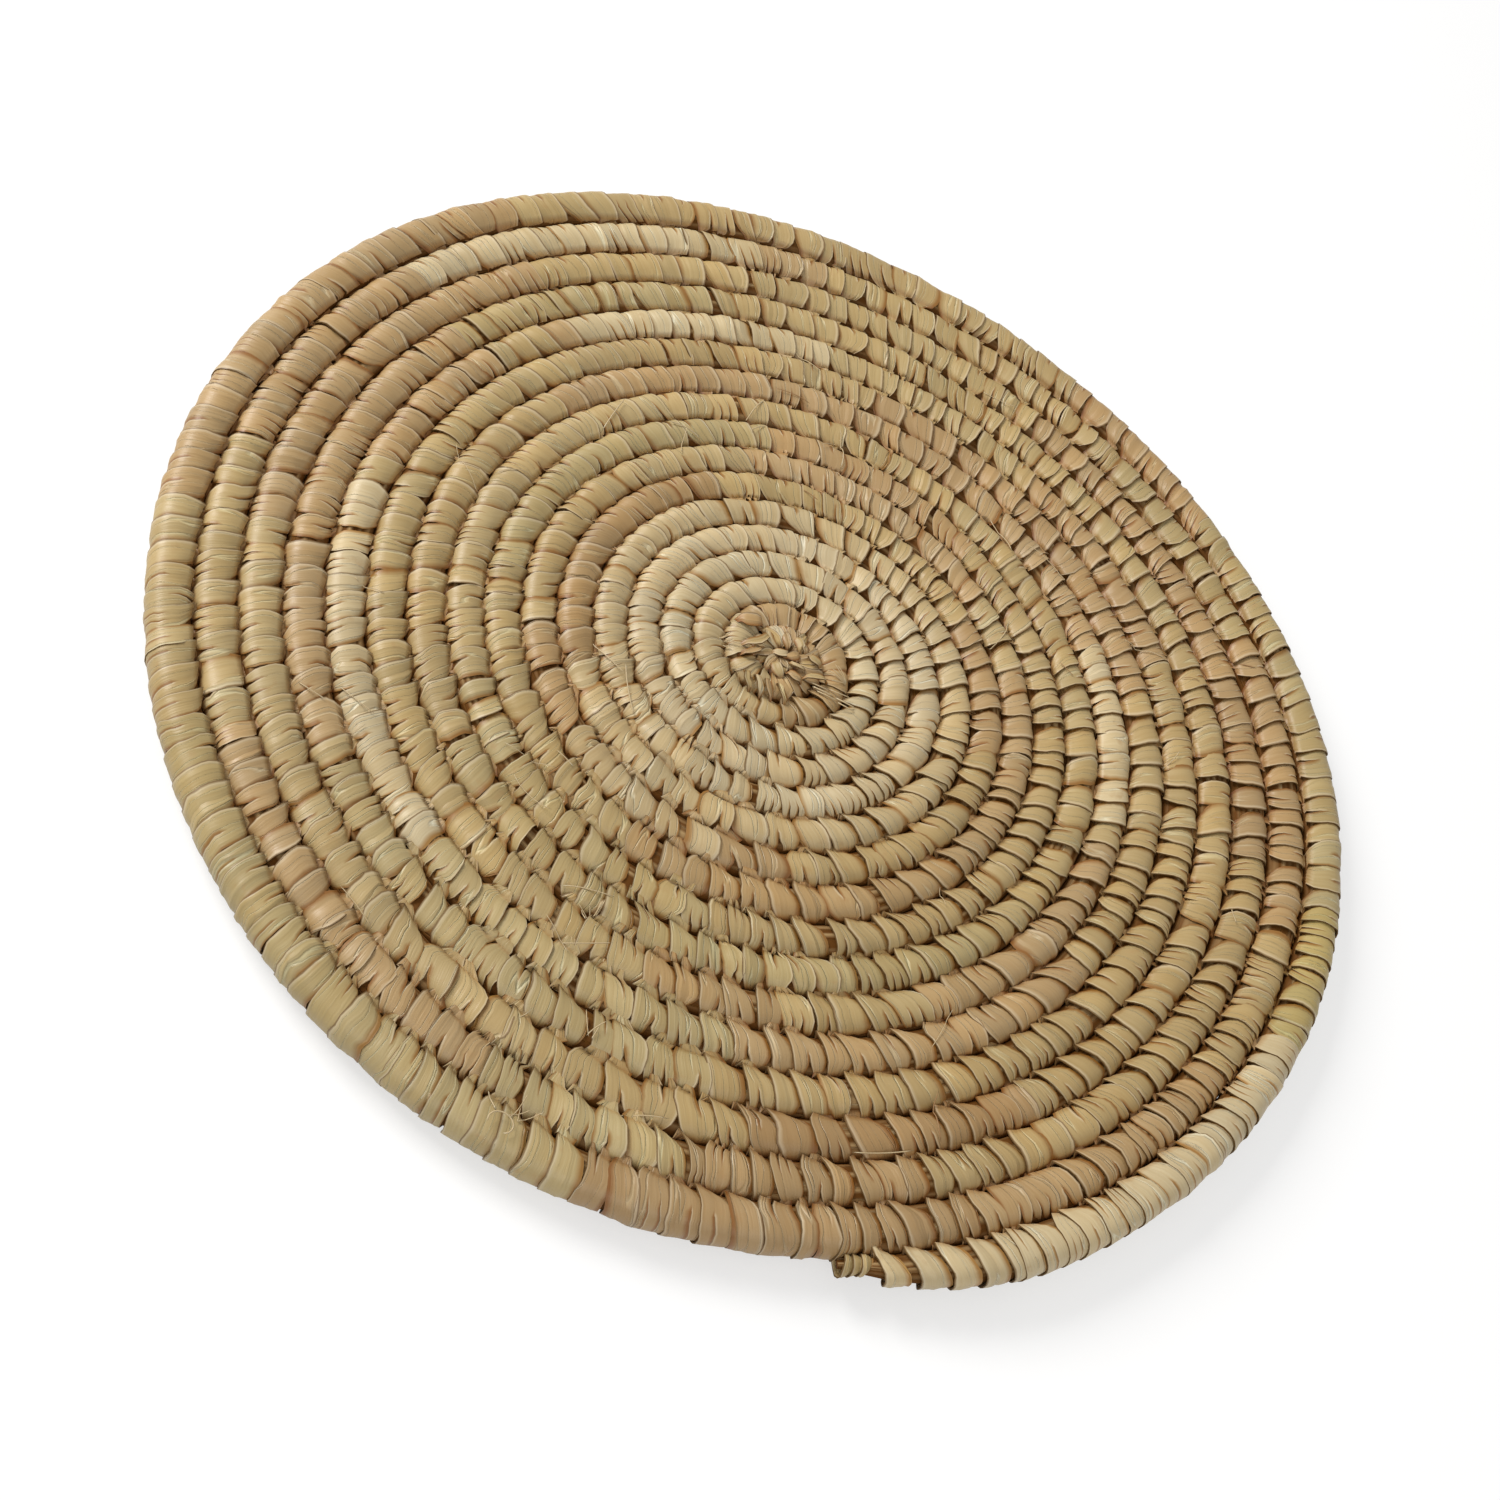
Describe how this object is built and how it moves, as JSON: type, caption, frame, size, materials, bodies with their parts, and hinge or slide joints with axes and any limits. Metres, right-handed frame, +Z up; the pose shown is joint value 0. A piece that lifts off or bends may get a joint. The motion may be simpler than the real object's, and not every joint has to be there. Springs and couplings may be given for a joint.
{
  "type": "coiled palm leaf bread tray",
  "caption": "Flat round bread tray of coiled basketry: a spiral bundle of fibres wrapped and bound in strips of dry palm leaf, with a slightly raised rim.",
  "frame": {"origin": "the middle of the tray's box, on the surface that it rests on", "axes": "+Z up out of the dish, -Y towards the viewer, with the coil's outer end to the right of the viewer"},
  "size_m": [0.3844, 0.3762, 0.0156],
  "materials": {
    "leaf_straw": "dry leaf, satin",
    "leaf_tan": "dry leaf, satin",
    "leaf_green": "dry leaf, satin",
    "leaf_cream": "dry leaf, satin",
    "leaf_brown": "dry leaf, satin",
    "bundle_fibre": "rough fibre",
    "knot_leaf": "dry leaf, satin"
  },
  "bodies": {
    "root": {"centre_knot": "knot_leaf", "foundation_bundle": "bundle_fibre", "leaf_strip_01": "leaf_straw", "leaf_strip_02": "leaf_green", "leaf_strip_03": "leaf_brown", "leaf_strip_04": "leaf_tan", "leaf_strip_05": "leaf_cream", "leaf_strip_06": "leaf_straw", "leaf_strip_07": "leaf_green", "leaf_strip_08": "leaf_brown", "leaf_strip_09": "leaf_tan", "leaf_strip_10": "leaf_cream", "leaf_strip_11": "leaf_straw", "leaf_strip_12": "leaf_green", "leaf_strip_13": "leaf_brown", "leaf_strip_14": "leaf_tan", "leaf_strip_15": "leaf_cream", "leaf_strip_16": "leaf_straw", "leaf_strip_17": "leaf_green", "leaf_strip_18": "leaf_brown", "leaf_strip_19": "leaf_tan", "leaf_strip_20": "leaf_cream", "leaf_strip_21": "leaf_straw", "leaf_strip_22": "leaf_green", "leaf_strip_23": "leaf_brown", "leaf_strip_24": "leaf_tan", "leaf_strip_25": "leaf_cream", "leaf_strip_26": "leaf_straw", "leaf_strip_27": "leaf_green", "leaf_strip_28": "leaf_brown", "leaf_strip_29": "leaf_tan", "leaf_strip_30": "leaf_cream", "leaf_strip_31": "leaf_straw", "leaf_strip_32": "leaf_green", "leaf_strip_33": "leaf_brown", "leaf_strip_34": "leaf_tan", "leaf_strip_35": "leaf_cream", "leaf_strip_36": "leaf_straw", "leaf_strip_37": "leaf_green", "leaf_strip_38": "leaf_brown", "leaf_strip_39": "leaf_tan", "leaf_strip_40": "leaf_cream", "leaf_strip_41": "leaf_straw", "leaf_strip_42": "leaf_green", "leaf_strip_43": "leaf_brown", "leaf_strip_44": "leaf_tan", "leaf_strip_45": "leaf_cream", "leaf_strip_46": "leaf_straw", "leaf_strip_47": "leaf_green", "leaf_strip_48": "leaf_brown", "leaf_strip_49": "leaf_tan", "leaf_strip_50": "leaf_cream", "end_lashing": "leaf_straw"}
  },
  "joints": []
}
